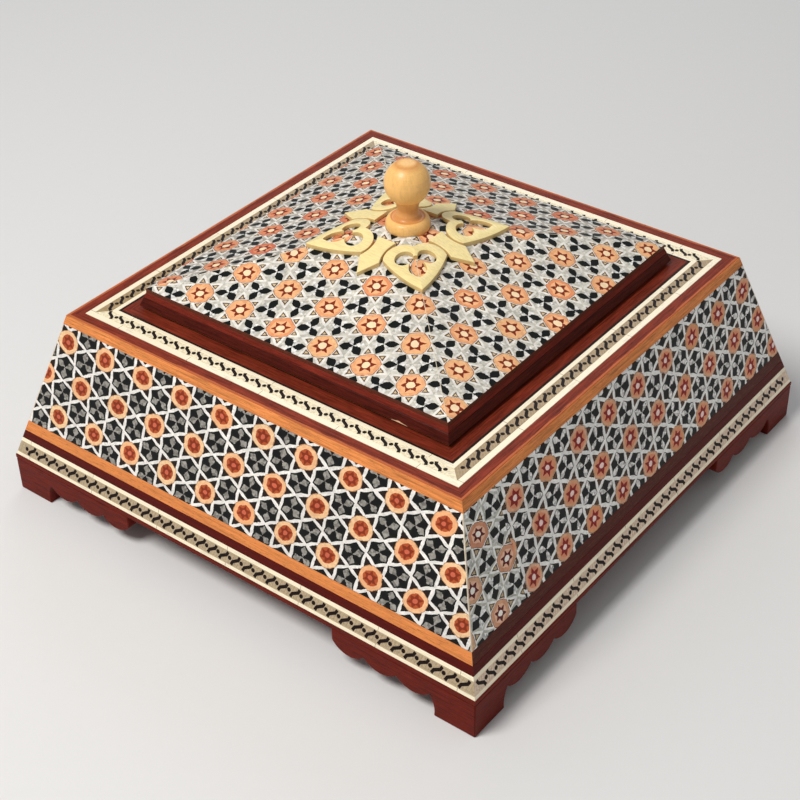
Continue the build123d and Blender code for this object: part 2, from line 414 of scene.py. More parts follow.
def bone_finish(name, colour, ground=None):
    """Polished bone with faint warm clouding and hairline joints.

    A ground gives the heights between which the bone is stained like the zigzag band beside it, on the faces
    that look along Y and along X."""
    finish = Finish(name, coat=0.4, coat_roughness=0.1)
    along, out, up, on_x_side = along_side(finish)
    run = along * 0.12 + on_x_side * X_SIDE_CLOUD_SHIFT
    cloud = finish.noise(finish.vector(run, out * 0.5, up * 0.5), 1.5, 3.0)
    paint = finish.ramp(cloud, (0.3, toned(colour, 0.86)), (0.45, colour), (0.7, toned(colour, 1.02)))
    length = (along + on_x_side * X_SIDE_JOINT_SHIFT) / BONE_LENGTH
    joint = (length - length.nearest()).size() < 0.004
    paint = finish.blend(joint * 0.6, paint, shade(120, 84, 50))
    if ground:
        low, high, front_stain, side_stain = ground
        stained = (up > low) * (up < high)
        paint = finish.blend(stained, paint, finish.blend(on_x_side, front_stain, side_stain))
    finish.set("Base Color", paint)
    finish.set("Roughness", cloud * 0.3 + 0.15)
    finish.bump(cloud, 0.1, 0.0002)
    return finish.material


def band_finish(name, colour, seam, side_colour):
    """Ground of a zigzag band: short laid blocks with fine seams."""
    finish = Finish(name, coat=0.3)
    along, out, up, on_x_side = along_side(finish)
    run = along * 1.2 + on_x_side * X_SIDE_CLOUD_SHIFT
    speckle = finish.noise(finish.vector(run, out * 1.6, up * 1.6), 1.0, 3.0, 0.6)
    shown = finish.blend(on_x_side, colour, side_colour)
    paint = finish.brightness(shown, finish.stretched(speckle, (0.32, 0.68), (0.72, 1.12)))
    cell = (along + out) * BAND_BLOCKS_PER_MM
    joint = (cell - cell.nearest()).size() < 0.07
    paint = finish.blend(joint * 0.45, paint, seam)
    finish.set("Base Color", paint)
    finish.set("Roughness", speckle * 0.3 + 0.22)
    finish.bump(speckle, 0.15, 0.0002)
    return finish.material


def plain_dark_finish(name, colour):
    """Black-stained wood with a fine speckle and little shine."""
    finish = Finish(name, specular=0.12)
    x, y, z = finish.place()
    speckle = finish.noise(finish.vector(x, y, z), 1.4, 3.0, 0.6)
    finish.set("Base Color", finish.ramp(speckle, (0.35, toned(colour, 0.6)), (0.65, toned(colour, 1.6))))
    finish.set("Roughness", speckle * 0.3 + 0.25)
    finish.bump(speckle, 0.12, 0.0002)
    return finish.material


@dataclass(frozen=True)
class Sheet:
    """Colours of one kind of mosaic sheet, and its sizes in flower spacings.

    A flower is a dot and a star on a disc, within a ring. Tips edged by bands point to its six neighbours,
    and three-armed figures with flecks between their arms fill the field."""

    field: tuple
    fleck: tuple
    arm: tuple
    band: tuple
    tip: tuple
    tip_heart: tuple
    ring: tuple
    ring_warm: tuple
    star: tuple
    disc: tuple
    dot: tuple
    roundness: float
    dot_size: float
    disc_size: float
    ring_size: float
    tip_start: float
    tip_end: float
    band_width: float
    arm_length: float
    arm_width: float
    fleck_length: float
    fleck_width: float


FRONT_SHEET = Sheet(
    field=shade(14, 20, 16), fleck=shade(168, 164, 156), arm=shade(4, 6, 6), band=shade(248, 244, 238),
    tip=shade(20, 11, 8), tip_heart=shade(34, 20, 14), ring=shade(254, 220, 172),
    ring_warm=shade(246, 180, 128), star=shade(134, 48, 20), disc=shade(182, 82, 42),
    dot=shade(206, 100, 72), roundness=0.62, dot_size=0.05, disc_size=0.158, ring_size=0.24,
    tip_start=0.25, tip_end=0.42, band_width=0.072, arm_length=0.27, arm_width=0.05, fleck_length=0.235,
    fleck_width=0.078)
SIDE_SHEET = Sheet(
    field=shade(40, 40, 38), fleck=shade(255, 252, 248), arm=shade(2, 3, 3), band=shade(255, 253, 248),
    tip=shade(40, 20, 10), tip_heart=shade(84, 54, 28), ring=shade(242, 194, 164),
    ring_warm=shade(224, 158, 108), star=shade(140, 20, 12), disc=shade(230, 146, 108),
    dot=shade(255, 222, 214), roundness=0.5, dot_size=0.058, disc_size=0.186, ring_size=0.245,
    tip_start=0.262, tip_end=0.415, band_width=0.078, arm_length=0.275, arm_width=0.074,
    fleck_length=0.25, fleck_width=0.056)
LID_SHEET = Sheet(
    field=shade(208, 204, 192), fleck=shade(248, 246, 240), arm=shade(8, 14, 12),
    band=shade(246, 242, 234), tip=shade(92, 66, 44), tip_heart=shade(214, 190, 150),
    ring=shade(250, 206, 150), ring_warm=shade(236, 152, 104), star=shade(128, 42, 14),
    disc=shade(250, 186, 134), dot=shade(255, 226, 184), roundness=0.45, dot_size=0.078, disc_size=0.186,
    ring_size=0.25, tip_start=0.28, tip_end=0.41, band_width=0.05, arm_length=0.28, arm_width=0.082,
    fleck_length=0.21, fleck_width=0.05)
PATCH_SHEET = Sheet(
    field=shade(196, 196, 186), fleck=shade(255, 255, 252), arm=shade(3, 4, 4), band=shade(255, 254, 248),
    tip=shade(56, 36, 22), tip_heart=shade(190, 168, 130), ring=shade(226, 190, 150),
    ring_warm=shade(212, 140, 108), star=shade(92, 10, 10), disc=shade(240, 190, 160),
    dot=shade(255, 248, 238), roundness=0.45, dot_size=0.062, disc_size=0.17, ring_size=0.24,
    tip_start=0.27, tip_end=0.42, band_width=0.05, arm_length=0.275, arm_width=0.105, fleck_length=0.24,
    fleck_width=0.07)
# A darker, redder copy of the lid sheet for the back and left roof sheets: painted shade, as these faces turn
# away from the lamp.
SHADED_ROOF_SHEET = replace(
    LID_SHEET, field=shade(182, 176, 166), ring=shade(238, 176, 130), ring_warm=shade(206, 104, 72),
    star=shade(112, 24, 12), disc=shade(226, 138, 96))


def flower_fold(finish, x, y):
    """Folds the plane into one wedge of a flower.

    Gives the distance towards the nearest neighbour, the distance beside that line and a random number for
    each flower."""
    tall = 2 * ROW_RISE
    near_x = x - x.nearest()
    near_y = y - (y / tall).nearest() * tall
    far_x = (x - 0.5) - (x - 0.5).nearest()
    far_y = (y - ROW_RISE) - ((y - ROW_RISE) / tall).nearest() * tall
    use_far = (far_x * far_x + far_y * far_y) < (near_x * near_x + near_y * near_y)
    from_x = use_far.pick(far_x, near_x)
    from_y = use_far.pick(far_y, near_y)
    number = finish.node("ShaderNodeTexWhiteNoise", {"noise_dimensions": "2D"},
                         {"Vector": finish.vector(((x - from_x) * 2.0).nearest(),
                                                  ((y - from_y) / ROW_RISE).nearest(), 0.0)})
    across, rise = from_x.size(), from_y.size()
    slanted = across * 0.5 + rise * ROW_RISE
    straight = across > slanted
    towards = across.larger(slanted)
    beside = straight.pick(rise, (across * ROW_RISE - rise * 0.5).size())
    return towards, beside, number


def rod_number(finish, x, y):
    """A random number for each tiny three-sided rod the sheet is sliced from."""
    rods = RODS_ACROSS_FLOWER
    first = (x * rods).math("FLOOR")
    second = ((x * 0.5 + y * ROW_RISE) * rods).math("FLOOR")
    third = ((x * 0.5 - y * ROW_RISE) * rods).math("FLOOR")
    return finish.node("ShaderNodeTexWhiteNoise", {"noise_dimensions": "3D"},
                       {"Vector": finish.vector(first, second, third)})


def mosaic(finish, x, y, sheet):
    """Colour of a mosaic sheet at a point given in flower spacings."""
    wander = finish.noise(finish.vector(x, y, 0.0), 1.7, 2.0)
    sway = finish.noise(finish.vector(y, x, 7.0), 1.7, 2.0)
    rod = rod_number(finish, x, y)
    towards, beside, number = flower_fold(finish, x + (wander - 0.5) * SHEET_WANDER,
                                          y + (sway - 0.5) * SHEET_WANDER)
    towards = towards + (rod - 0.5) * ROD_SHIVER
    slope = 1 / sqrt(3)
    to_gap_x = 0.5 - towards
    to_gap_y = 0.5 * slope - beside
    arm_along = to_gap_x * ROW_RISE + to_gap_y * 0.5
    arm_beside = (to_gap_x * 0.5 - to_gap_y * ROW_RISE).size()

    paint = finish.blend(rod, toned(sheet.field, 0.72), toned(sheet.field, 1.2))
    fleck_edge = (to_gap_y * 0.55).smaller((sheet.fleck_length - to_gap_y) * 0.9).smaller(sheet.fleck_width)
    fleck = finish.blend(rod, toned(sheet.fleck, 0.42), sheet.fleck)
    paint = finish.blend(to_gap_x < fleck_edge, paint, fleck)
    arm_edge = (arm_along * 0.75).smaller((sheet.arm_length - arm_along) * 0.85).smaller(sheet.arm_width)
    paint = finish.blend(arm_beside < arm_edge, paint, sheet.arm)

    tip_edge = (beside - (sheet.tip_end - towards) * slope) * ROW_RISE
    swell = sheet.band_width - (towards - 0.4).size() * 0.12
    band = finish.blend(rod, toned(sheet.band, 0.8), sheet.band)
    paint = finish.blend(tip_edge < swell, paint, band)
    paint = finish.blend((tip_edge < 0.0) * (towards > sheet.tip_start), paint, sheet.tip)
    heart = (tip_edge < -0.022) * (towards > sheet.tip_start + 0.022)
    paint = finish.blend(heart, paint, sheet.tip_heart)

    radius = (towards * towards + beside * beside).math("SQRT")
    rounded = towards * (1 - sheet.roundness) + radius * (0.97 * sheet.roundness)
    ring = finish.blend(number, sheet.ring, sheet.ring_warm)
    ring = finish.blend(rod * 0.5, ring, toned(sheet.ring_warm, 0.82))
    paint = finish.blend(rounded < sheet.ring_size + 0.012, paint, toned(sheet.ring_warm, 0.45))
    paint = finish.blend(rounded < sheet.ring_size, paint, ring)
    inside = rounded < sheet.disc_size
    paint = finish.blend(inside, paint, sheet.disc)
    star = (towards - beside * 0.68) < sheet.disc_size * 0.56
    paint = finish.blend(star * inside, paint, sheet.star)
    paint = finish.blend(radius < sheet.dot_size, paint, sheet.dot)
    return paint, number


def finish_mosaic(finish, paint, number, x, y):
    """Laid pieces differ a little in tone and height under one coat of varnish.

    The sheet's cut edges show its brown backing."""
    normal = finish.node("ShaderNodeNewGeometry", output="True Normal")
    upright = finish.node("ShaderNodeSeparateXYZ", values={0: normal}, output=2)
    paint = finish.blend(upright < 0.2, paint, shade(96, 44, 28))
    grains = finish.noise(finish.vector(x * 9.0, y * 9.0, 0.0), 1.0, 2.0, 0.6)
    patches = finish.noise(finish.vector(x * 0.7, y * 0.7, 3.0), 1.0, 2.0, 0.5)
    paint = finish.brightness(paint, grains * 0.4 + patches * 0.3 + number * 0.1 + 0.6)
    finish.set("Base Color", paint)
    finish.set("Roughness", grains * 0.22 + 0.3)
    finish.bump(grains, 0.18, 0.0002)
    return finish.material


def arris_line(finish, paint, distance, width):
    """A pale line painted along the arris where two mitred sheets meet."""
    return finish.blend((distance < width) * 0.8, paint, shade(238, 222, 196))


def wall_mosaic(name, sheet, spacing, row, first_flower, first_row, lean, patch=None):
    """Mosaic on the sloping walls; lean is how far each row is shifted, as the sheet was laid a little askew.

    The first flower and row are measured along the side and down from the rim, in millimetres. A patch
    gives the sheet let in at the front end of the side wall, its first flower and row, and where it ends."""
    finish = Finish(name, coat=0.06, specular=0.16)
    along, out, up, on_x_side = along_side(finish)
    down = (RIM_TOP / MM - up) * WALL_STRETCH
    drift = along * 0.0008 + lean
    x = (along - first_flower + (down - first_row) * drift) / spacing
    y = (down - first_row) / row * ROW_RISE
    paint, number = mosaic(finish, x, y, sheet)
    if patch:
        patch_sheet, patch_flower, patch_row, patch_end = patch
        patch_x = (along - patch_flower) / spacing
        patch_y = (down - patch_row) / row * ROW_RISE
        patch_paint, _ = mosaic(finish, patch_x, patch_y, patch_sheet)
        paint = finish.blend(along < patch_end, paint, patch_paint)
    half = (RIM_TOP / MM - up) * WALL_LEAN + RIM_HALF / MM
    paint = arris_line(finish, paint, half - along.size(), 0.4)
    return finish_mosaic(finish, paint, number, x, y)


def roof_mosaic(name, sheet, first_x, first_y, step_x, step_y):
    """Mosaic on one roof sheet of the lid; all four are cut with their rows along X.

    The first and step values place the flowers, in millimetres."""
    finish = Finish(name, coat=0.08, coat_roughness=0.12, specular=0.18)
    x, y, _ = finish.place()
    lattice_x = (x - first_x) / step_x
    lattice_y = (y - first_y) / step_y * ROW_RISE
    paint, number = mosaic(finish, lattice_x, lattice_y, sheet)
    hip = (x.size() - y.size()).size()
    paint = arris_line(finish, paint, hip, 0.15)
    return finish_mosaic(finish, paint, number, lattice_x, lattice_y)


# Mesh helpers
def piece_from_mesh(name, mesh, body, material, slot, *nodes):
    """A piece that rides on a body of the frame and stands for the named CAD nodes."""
    piece = bpy.data.objects.new(name, mesh)
    bpy.context.scene.collection.objects.link(piece)
    mesh.materials.clear()
    mesh.materials.append(material)
    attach(piece, body)
    if nodes:
        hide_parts(*nodes)
    return piece


def eased_copy(node, material, slot, edge_width, segments=2, smooth_angle=35.0):
    """A copy of a CAD node with its faces merged and its edges eased; it stands for that node.

    Faces that meet at less than the smooth angle are shaded as one curve."""
    source = frame["nodes"][node]
    work = bmesh.new()
    work.from_mesh(source.data)
    bmesh.ops.remove_doubles(work, verts=work.verts, dist=0.002 * MM)
    bmesh.ops.dissolve_limit(work, angle_limit=radians(1.0), verts=work.verts, edges=work.edges)
    flat, curved, eased = range(3)
    for face in work.faces:
        bends = [edge.calc_face_angle(0) for edge in face.edges]
        is_curved = any(radians(1) < bend < radians(smooth_angle) for bend in bends)
        face.material_index = curved if is_curved else flat
    sharp = [edge for edge in work.edges if edge.is_manifold and edge.calc_face_angle() > radians(20)]
    if edge_width > 0:
        bmesh.ops.bevel(work, geom=sharp, offset=edge_width, segments=segments, profile=0.5, affect="EDGES",
                        clamp_overlap=True, material=eased)
    bmesh.ops.triangulate(work, faces=[face for face in work.faces if len(face.verts) > 4])
    rounded = [face.material_index != flat for face in work.faces]
    for face in work.faces:
        face.material_index = 0
    mesh = bpy.data.meshes.new(node + "_eased")
    work.to_mesh(mesh)
    work.free()
    mesh.set_sharp_from_angle(angle=radians(smooth_angle))
    mesh.polygons.foreach_set("use_smooth", rounded)
    return piece_from_mesh(node + "_piece", mesh, source["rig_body"], material, slot, node)


def lathe_mesh(name, profile, steps=72):
    """A closed turned mesh from (radius, height) points that start and end on the axis."""
    work = bmesh.new()
    rings = []
    turns = [2 * pi * i / steps for i in range(steps)]
    for radius, height in profile:
        if radius < 1e-6:
            rings.append([work.verts.new((0, 0, height))])
        else:
            rings.append([work.verts.new((radius * cos(turn), radius * sin(turn), height)) for turn in turns])
    for low, high in zip(rings, rings[1:]):
        for i in range(steps):
            j = (i + 1) % steps
            corners = [low[i % len(low)], low[j % len(low)], high[j % len(high)], high[i % len(high)]]
            work.faces.new(list(dict.fromkeys(corners)))
    bmesh.ops.recalc_face_normals(work, faces=work.faces)
    mesh = bpy.data.meshes.new(name)
    work.to_mesh(mesh)
    work.free()
    mesh.polygons.foreach_set("use_smooth", [True] * len(mesh.polygons))
    mesh.set_sharp_from_angle(angle=radians(50))
    return mesh


# Zigzag bands
def stroke_and_dot(name, pitch, height, proud, boldness):
    """One repeat of the zigzag: a stroke with a steep, a gentle and a steep part, and a dot beside it.

    Both start well below the ground of the band, so no face lies in its surface."""
    half = boldness * pitch
    spine = [Vector((-0.4 * pitch, 0.42 * height)), Vector((-0.3 * pitch, 0.15 * height)),
             Vector((0.14 * pitch, -0.13 * height)), Vector((0.26 * pitch, -0.42 * height))]
    left = []
    right = []
    for i, point in enumerate(spine):
        before = spine[max(i - 1, 0)]
        after = spine[min(i + 1, len(spine) - 1)]
        side = (after - before).normalized().orthogonal() * half
        left.append(point + side)
        right.append(point - side)
    spot = 1.35 * half
    centre = Vector((0.43 * pitch, 0.03 * height))
    dot = [centre + spot * Vector((cos(turn * pi / 4), sin(turn * pi / 4))) for turn in range(8)]
    sunk = 4 * proud
    work = bmesh.new()
    for outline in (left + right[::-1], dot):
        lower = work.faces.new([work.verts.new((point.x, point.y, -sunk)) for point in outline])
        risen = bmesh.ops.extrude_face_region(work, geom=[lower], use_keep_orig=True)
        top = [item for item in risen["geom"] if isinstance(item, bmesh.types.BMVert)]
        bmesh.ops.translate(work, verts=top, vec=(0, 0, sunk + proud))
    bmesh.ops.recalc_face_normals(work, faces=work.faces)
    mesh = bpy.data.meshes.new(name)
    work.to_mesh(mesh)
    work.free()
    return mesh


def name_inputs(tree):
    """The inputs and the output of the repeat tree."""
    interface = tree.interface
    interface.new_socket(name="Geometry", in_out="INPUT", socket_type="NodeSocketGeometry")
    for socket, kind in (("Repeat", "NodeSocketObject"), ("Count", "NodeSocketInt"),
                         ("Pitch", "NodeSocketFloat"), ("Start", "NodeSocketFloat"),
                         ("Wobble", "NodeSocketFloat"), ("Seed", "NodeSocketInt"),
                         ("Finish", "NodeSocketMaterial")):
        interface.new_socket(name=socket, in_out="INPUT", socket_type=kind)
    interface.new_socket(name="Geometry", in_out="OUTPUT", socket_type="NodeSocketGeometry")


def add_repeat_tree(name):
    """Geometry Nodes: repeats one mesh along the X axis with a slight turn, and realises it with a finish."""
    tree = bpy.data.node_groups.new(name, "GeometryNodeTree")
    name_inputs(tree)
    nodes = tree.nodes
    given = nodes.new("NodeGroupInput")
    line = nodes.new("GeometryNodeMeshLine")
    line.mode = "OFFSET"
    start = nodes.new("ShaderNodeCombineXYZ")
    step = nodes.new("ShaderNodeCombineXYZ")
    piece = nodes.new("GeometryNodeObjectInfo")
    place = nodes.new("GeometryNodeInstanceOnPoints")
    turn = nodes.new("FunctionNodeRandomValue")
    turn.data_type = "FLOAT"
    lowest = nodes.new("ShaderNodeMath")
    lowest.operation = "MULTIPLY"
    lowest.inputs[1].default_value = -1
    angles = nodes.new("ShaderNodeCombineXYZ")
    realise = nodes.new("GeometryNodeRealizeInstances")
    paint = nodes.new("GeometryNodeSetMaterial")
    result = nodes.new("NodeGroupOutput")
    wires = ((given, "Start", start, "X"), (given, "Pitch", step, "X"), (given, "Count", line, "Count"),
             (start, 0, line, "Start Location"), (step, 0, line, "Offset"),
             (given, "Repeat", piece, "Object"), (line, 0, place, "Points"),
             (piece, "Geometry", place, "Instance"), (given, "Wobble", lowest, 0),
             (lowest, 0, turn, 2), (given, "Wobble", turn, 3), (given, "Seed", turn, "Seed"),
             (turn, 1, angles, "Z"), (angles, 0, place, "Rotation"), (place, 0, realise, 0),
             (realise, 0, paint, "Geometry"), (given, "Finish", paint, "Material"), (paint, 0, result, 0))
    for source, output, target, entry in wires:
        tree.links.new(source.outputs[output], target.inputs[entry])
    return tree


def repeated_mesh(tree, repeat, values):
    """Runs the tree on a bare object and keeps the result as a plain mesh."""
    holder = bpy.data.objects.new("repeat_holder", bpy.data.meshes.new("repeat_holder"))
    bpy.context.scene.collection.objects.link(holder)
    modifier = holder.modifiers.new("repeat", "NODES")
    modifier.node_group = tree
    identifiers = {item.name: item.identifier for item in tree.interface.items_tree
                   if item.in_out == "INPUT"}
    modifier[identifiers["Repeat"]] = repeat
    for name, value in values.items():
        modifier[identifiers[name]] = value
    bpy.context.view_layer.update()
    depsgraph = bpy.context.evaluated_depsgraph_get()
    mesh = bpy.data.meshes.new_from_object(holder.evaluated_get(depsgraph))
    bpy.data.objects.remove(holder)
    if len(mesh.polygons) == 0:
        raise RuntimeError("the zigzag band came out empty")
    return mesh


def zigzag_ring(name, settings, material, band_height, outline, tilt, boldness, mirrored, seed):
    """Strokes round all four sides, tilted like their band and mirrored on the named sides.

    The outline gives the half length of a side, then the band's distance from the middle and its height."""
    half_length, centre_half, centre_height = outline
    pitch = settings.zigzag_pitch
    repeat_mesh = stroke_and_dot(name + "_repeat", pitch, band_height, settings.zigzag_proud, boldness)
    repeat = bpy.data.objects.new(name + "_repeat", repeat_mesh)
    bpy.context.scene.collection.objects.link(repeat)
    tree = add_repeat_tree(name + "_tree")
    count = int(2 * half_length / pitch)
    first = -0.5 * (count - 1) * pitch - 0.2 * pitch
    joined = bmesh.new()
    for index, side in enumerate(SIDES):
        values = {"Count": count, "Pitch": pitch, "Start": first, "Wobble": STROKE_WOBBLE,
                  "Seed": seed + index, "Finish": material}
        mesh = repeated_mesh(tree, repeat, values)
        hand = Matrix.Scale(-1 if side in mirrored else 1, 4, (1, 0, 0))
        to_band = (Matrix.Rotation(index * pi / 2, 4, "Z")
                   @ Matrix.Translation((0, -centre_half, centre_height))
                   @ Matrix.Rotation(tilt, 4, "X") @ hand)
        mesh.transform(to_band)
        joined.from_mesh(mesh)
        bpy.data.meshes.remove(mesh)
    bpy.data.objects.remove(repeat)
    ring = bpy.data.meshes.new(name)
    bmesh.ops.recalc_face_normals(joined, faces=joined.faces)
    joined.to_mesh(ring)
    joined.free()
    return piece_from_mesh(name, ring, "box", material, "black_wood")


# Operators
class BuildCarcass(bpy.types.Operator):
    """Give the hidden and inner boards their plain wood."""

    bl_idname = "dish.carcass"
    bl_label = "Carcass"

    def execute(self, context):
        woods = context.scene.dish_woods
        plain = wood_finish("plain_carcass_wood", woods.carcass, grain=1.0, contrast=0.3, roughness=0.6,
                            coat=0.0)
        board = wood_finish("base_board_stain", woods.foot, grain=1.2, contrast=0.4, roughness=0.5, coat=0.04)
        for side in SIDES:
            for name in (f"wall_{side}", f"rim_rail_{side}"):
                eased_copy(name, plain, "carcass_wood", 0.0)
        eased_copy("base_board", board, "carcass_wood", 0.15 * MM)
        for name in ("floor_panel", "corner_blocks"):
            eased_copy(name, plain, "carcass_wood", 0.15 * MM)
        return {"FINISHED"}


class BuildFeet(bpy.types.Operator):
    """Ease the scalloped aprons of the feet and stain them."""

    bl_idname = "dish.feet"
    bl_label = "Feet"

    def execute(self, context):
        colour = context.scene.dish_woods.foot
        stain = wood_finish("foot_stain", colour, grain=2.0, contrast=0.8, roughness=0.5, coat=0.04)
        for name in sorted(frame["nodes"]):
            if name.startswith("apron_"):
                eased_copy(name, stain, "foot_wood", 0.45 * MM, 3)
        return {"FINISHED"}


class BuildWallStrips(bpy.types.Operator):
    """Make the orange and dark strips and the bone lines of the walls."""

    bl_idname = "dish.wall_strips"
    bl_label = "Wall strips"

    def execute(self, context):
        woods = context.scene.dish_woods
        orange = wood_finish("orange_strip_wood", woods.orange, grain=1.2, contrast=0.55, roughness=0.4,
                             coat=0.06)
        # On the right and left sides the lower orange strip is painted dark brown: painted shade, where the
        # wall turns away from the lamp.
        lower = wood_finish("lower_strip_painted_shade_wood", woods.orange, grain=1.2, contrast=0.3, roughness=0.4,
                            coat=0.06, side_colour=shade(84, 34, 24))
        strip = wood_finish("dark_strip_wood", woods.strip, grain=1.2, contrast=0.4, roughness=0.4, coat=0.06)
        front_ground = shade(188, 166, 132)
        side_ground = shade(236, 208, 180)
        ground_low = (band_low.z - BAND_SPREAD) / MM
        ground_high = (band_high.z + BAND_SPREAD) / MM
        bone = bone_finish("wall_bone", woods.bone, (ground_low, ground_high, front_ground, side_ground))
        ground = band_finish("wall_band_ground", front_ground, seam=shade(120, 96, 60),
                             side_colour=side_ground)
        eased_copy("upper_edge_strips", orange, "orange_wood", 0.15 * MM)
        eased_copy("lower_edge_strips", lower, "orange_wood", 0.1 * MM)
        eased_copy("dark_strips", strip, "dark_red_wood", 0.1 * MM)
        eased_copy("upper_ivory_lines", bone, "bone", 0.1 * MM)
        eased_copy("lower_ivory_lines", bone, "bone", 0.2 * MM)
        eased_copy("wall_zigzag_bands", ground, "zigzag_wall", 0.05 * MM)
        return {"FINISHED"}


class BuildWallMosaic(bpy.types.Operator):
    """Lay the mosaic sheets on the four walls."""

    bl_idname = "dish.wall_mosaic"
    bl_label = "Wall mosaic"

    def execute(self, context):
        sizes = context.scene.dish_mosaic
        spacing = sizes.spacing / MM
        row = sizes.wall_row / MM
        bold = wall_mosaic("wall_mosaic_bold", FRONT_SHEET, spacing, row, first_flower=-9.8, first_row=9.3,
                           lean=0.105)
        fine = wall_mosaic("wall_mosaic_fine", SIDE_SHEET, spacing, row, first_flower=-42.8, first_row=12.0,
                           lean=0.08, patch=(PATCH_SHEET, -79.4, 13.0, -67.0))
        for side in SIDES:
            sheet = bold if side in ("front", "back") else fine
            eased_copy(f"inlay_{side}", sheet, "mosaic_wall", 0.12 * MM)
        return {"FINISHED"}


class BuildRim(bpy.types.Operator):
    """Make the border, lines, band and lipping on top of the rim."""

    bl_idname = "dish.rim"
    bl_label = "Rim"

    def execute(self, context):
        woods = context.scene.dish_woods
        # The border's outer arris gets a painted highlight in pale orange.
        border = wood_finish("rim_border_wood", woods.dark_red, grain=1.5, contrast=0.85,
                             arris_highlight=(RIM_HALF / MM - 0.9, shade(214, 122, 74)))
        ledge = wood_finish("lipping_wood", toned(woods.dark_red, 0.8), grain=1.5, contrast=0.85)
        bone = bone_finish("rim_bone", woods.bone)
        ground = band_finish("rim_band_ground", shade(254, 240, 204), seam=shade(206, 182, 130),
                             side_colour=shade(168, 140, 98))
        black = plain_dark_finish("rim_black_line", shade(38, 16, 10))
        eased_copy("rim_border", border, "dark_red_wood", 0.3 * MM, 3)
        eased_copy("rim_outer_ivory", bone, "bone", 0.08 * MM)
        eased_copy("rim_zigzag", ground, "zigzag_rim", 0.05 * MM)
        eased_copy("rim_inner_ivory", bone, "bone", 0.08 * MM)
        eased_copy("rim_dark_line", black, "black_wood", 0.05 * MM)
        eased_copy("rim_lipping", ledge, "dark_red_wood", 0.15 * MM)
        return {"FINISHED"}


class BuildZigzags(bpy.types.Operator):
    """Repeat the black strokes and dots of the zigzag bands."""

    bl_idname = "dish.zigzags"
    bl_label = "Zigzag bands"

    def execute(self, context):
        sizes = context.scene.dish_mosaic
        black = plain_dark_finish("zigzag_black", shade(24, 12, 8))
        wall_middle = 0.5 * (band_low.z + band_high.z)
        wall_half = RIM_HALF + (RIM_TOP - wall_middle) * WALL_LEAN
        wall_height = (band_high.z - band_low.z + 2 * BAND_SPREAD) * WALL_STRETCH
        tilt = pi / 2 - atan(WALL_LEAN)
        corner_gap = 0.6 * MM
        zigzag_ring("wall_zigzag_strokes", sizes, black, wall_height,
                    (wall_half - corner_gap, wall_half, wall_middle), tilt, boldness=0.115,
                    mirrored=("front", "back"), seed=11)
        rim_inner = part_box("rim_inner_ivory")[1].x
        rim_middle = 0.5 * (rim_band_high.x + rim_inner)
        zigzag_ring("rim_zigzag_strokes", sizes, black, rim_band_high.x - rim_inner,
                    (rim_middle, rim_middle, RIM_TOP), 0.0, boldness=0.108,
                    mirrored=("right", "left"), seed=23)
        return {"FINISHED"}


class BuildLid(bpy.types.Operator):
    """Make the lid's boards, frame, edge strips and core."""

    bl_idname = "dish.lid"
    bl_label = "Lid"

    def execute(self, context):
        woods = context.scene.dish_woods
        stain = wood_finish("lid_stain", woods.lid, grain=1.5, contrast=0.8, chip=(45.6, 72.8))
        edge = wood_finish("lid_edge_stain", toned(woods.lid, 2.4), grain=1.3, contrast=0.6)
        plain = wood_finish("plain_lid_wood", woods.carcass, grain=1.0, contrast=0.3, roughness=0.6, coat=0.0)
        for side in SIDES:
            eased_copy(f"lid_frame_{side}", stain, "lid_wood", 0.3 * MM, 3)
        eased_copy("lid_edge_strips", edge, "lid_edge_wood", 0.15 * MM)
        eased_copy("lid_board", plain, "lid_wood", 0.1 * MM)
        eased_copy("lid_battens", plain, "lid_wood", 0.3 * MM)
        eased_copy("lid_core", plain, "core_wood", 0.0)
        return {"FINISHED"}


class BuildRoofMosaic(bpy.types.Operator):
    """Lay the mosaic sheets on the lid's roof."""

    bl_idname = "dish.roof_mosaic"
    bl_label = "Roof mosaic"

    def execute(self, context):
        sizes = context.scene.dish_mosaic
        spacing = sizes.spacing / MM
        row = sizes.lid_row / MM
        rise = (roof_high.z - roof_low.z) / roof_high.x
        side_spacing = spacing / hypot(1, rise)
        front_start = (-8.7, -56.1)
        side_start = (35.2, -14.35)
        # The back and left roof sheets carry painted shade through their darker sheet.
        sheets = {"front": roof_mosaic("roof_mosaic_front", LID_SHEET, *front_start, spacing, row),
                  "right": roof_mosaic("roof_mosaic_right", LID_SHEET, *side_start, side_spacing, row),
                  "back": roof_mosaic("roof_mosaic_back", SHADED_ROOF_SHEET, *front_start, spacing, row),
                  "left": roof_mosaic("roof_mosaic_left", SHADED_ROOF_SHEET, *side_start, side_spacing, row)}
        for side in SIDES:
            eased_copy(f"lid_inlay_{side}", sheets[side], "mosaic_lid", 0.1 * MM)
        return {"FINISHED"}


class BuildFretwork(bpy.types.Operator):
    """Ease the pale hearts and leaves on the lid."""

    bl_idname = "dish.fretwork"
    bl_label = "Fretwork"

    def execute(self, context):
        pale = fret_finish("fretwork_wood", context.scene.dish_woods.fret)
        eased_copy("fret_hearts", pale, "fret_wood", 0.25 * MM, 2, 40.0)
        eased_copy("fret_leaves", pale, "fret_wood", 0.25 * MM, 2, 40.0)
        return {"FINISHED"}


def knob_base(ball, seat, top):
    """Profile of the knob's swelling foot and the dish cut into its top, from the seat up."""
    foot = 0.98 * ball
    dish = 0.744 * ball
    tuck = 0.35
    middle = seat + 0.3 * (top - seat)
    swell = 0.68 * (top - seat)
    points = [(foot - 0.04 * ball, seat)]
    for step in range(1, 10):
        angle = pi * step / 20
        points.append((dish + (foot - dish) * cos(angle - tuck), middle + swell * sin(angle - tuck)))
    points += [(dish - 0.02 * ball, top), (0.68 * ball, top - 0.03 * ball),
               (0.6 * ball, top - 0.02 * ball), (0.53 * ball, top + 0.05 * ball)]
    return points


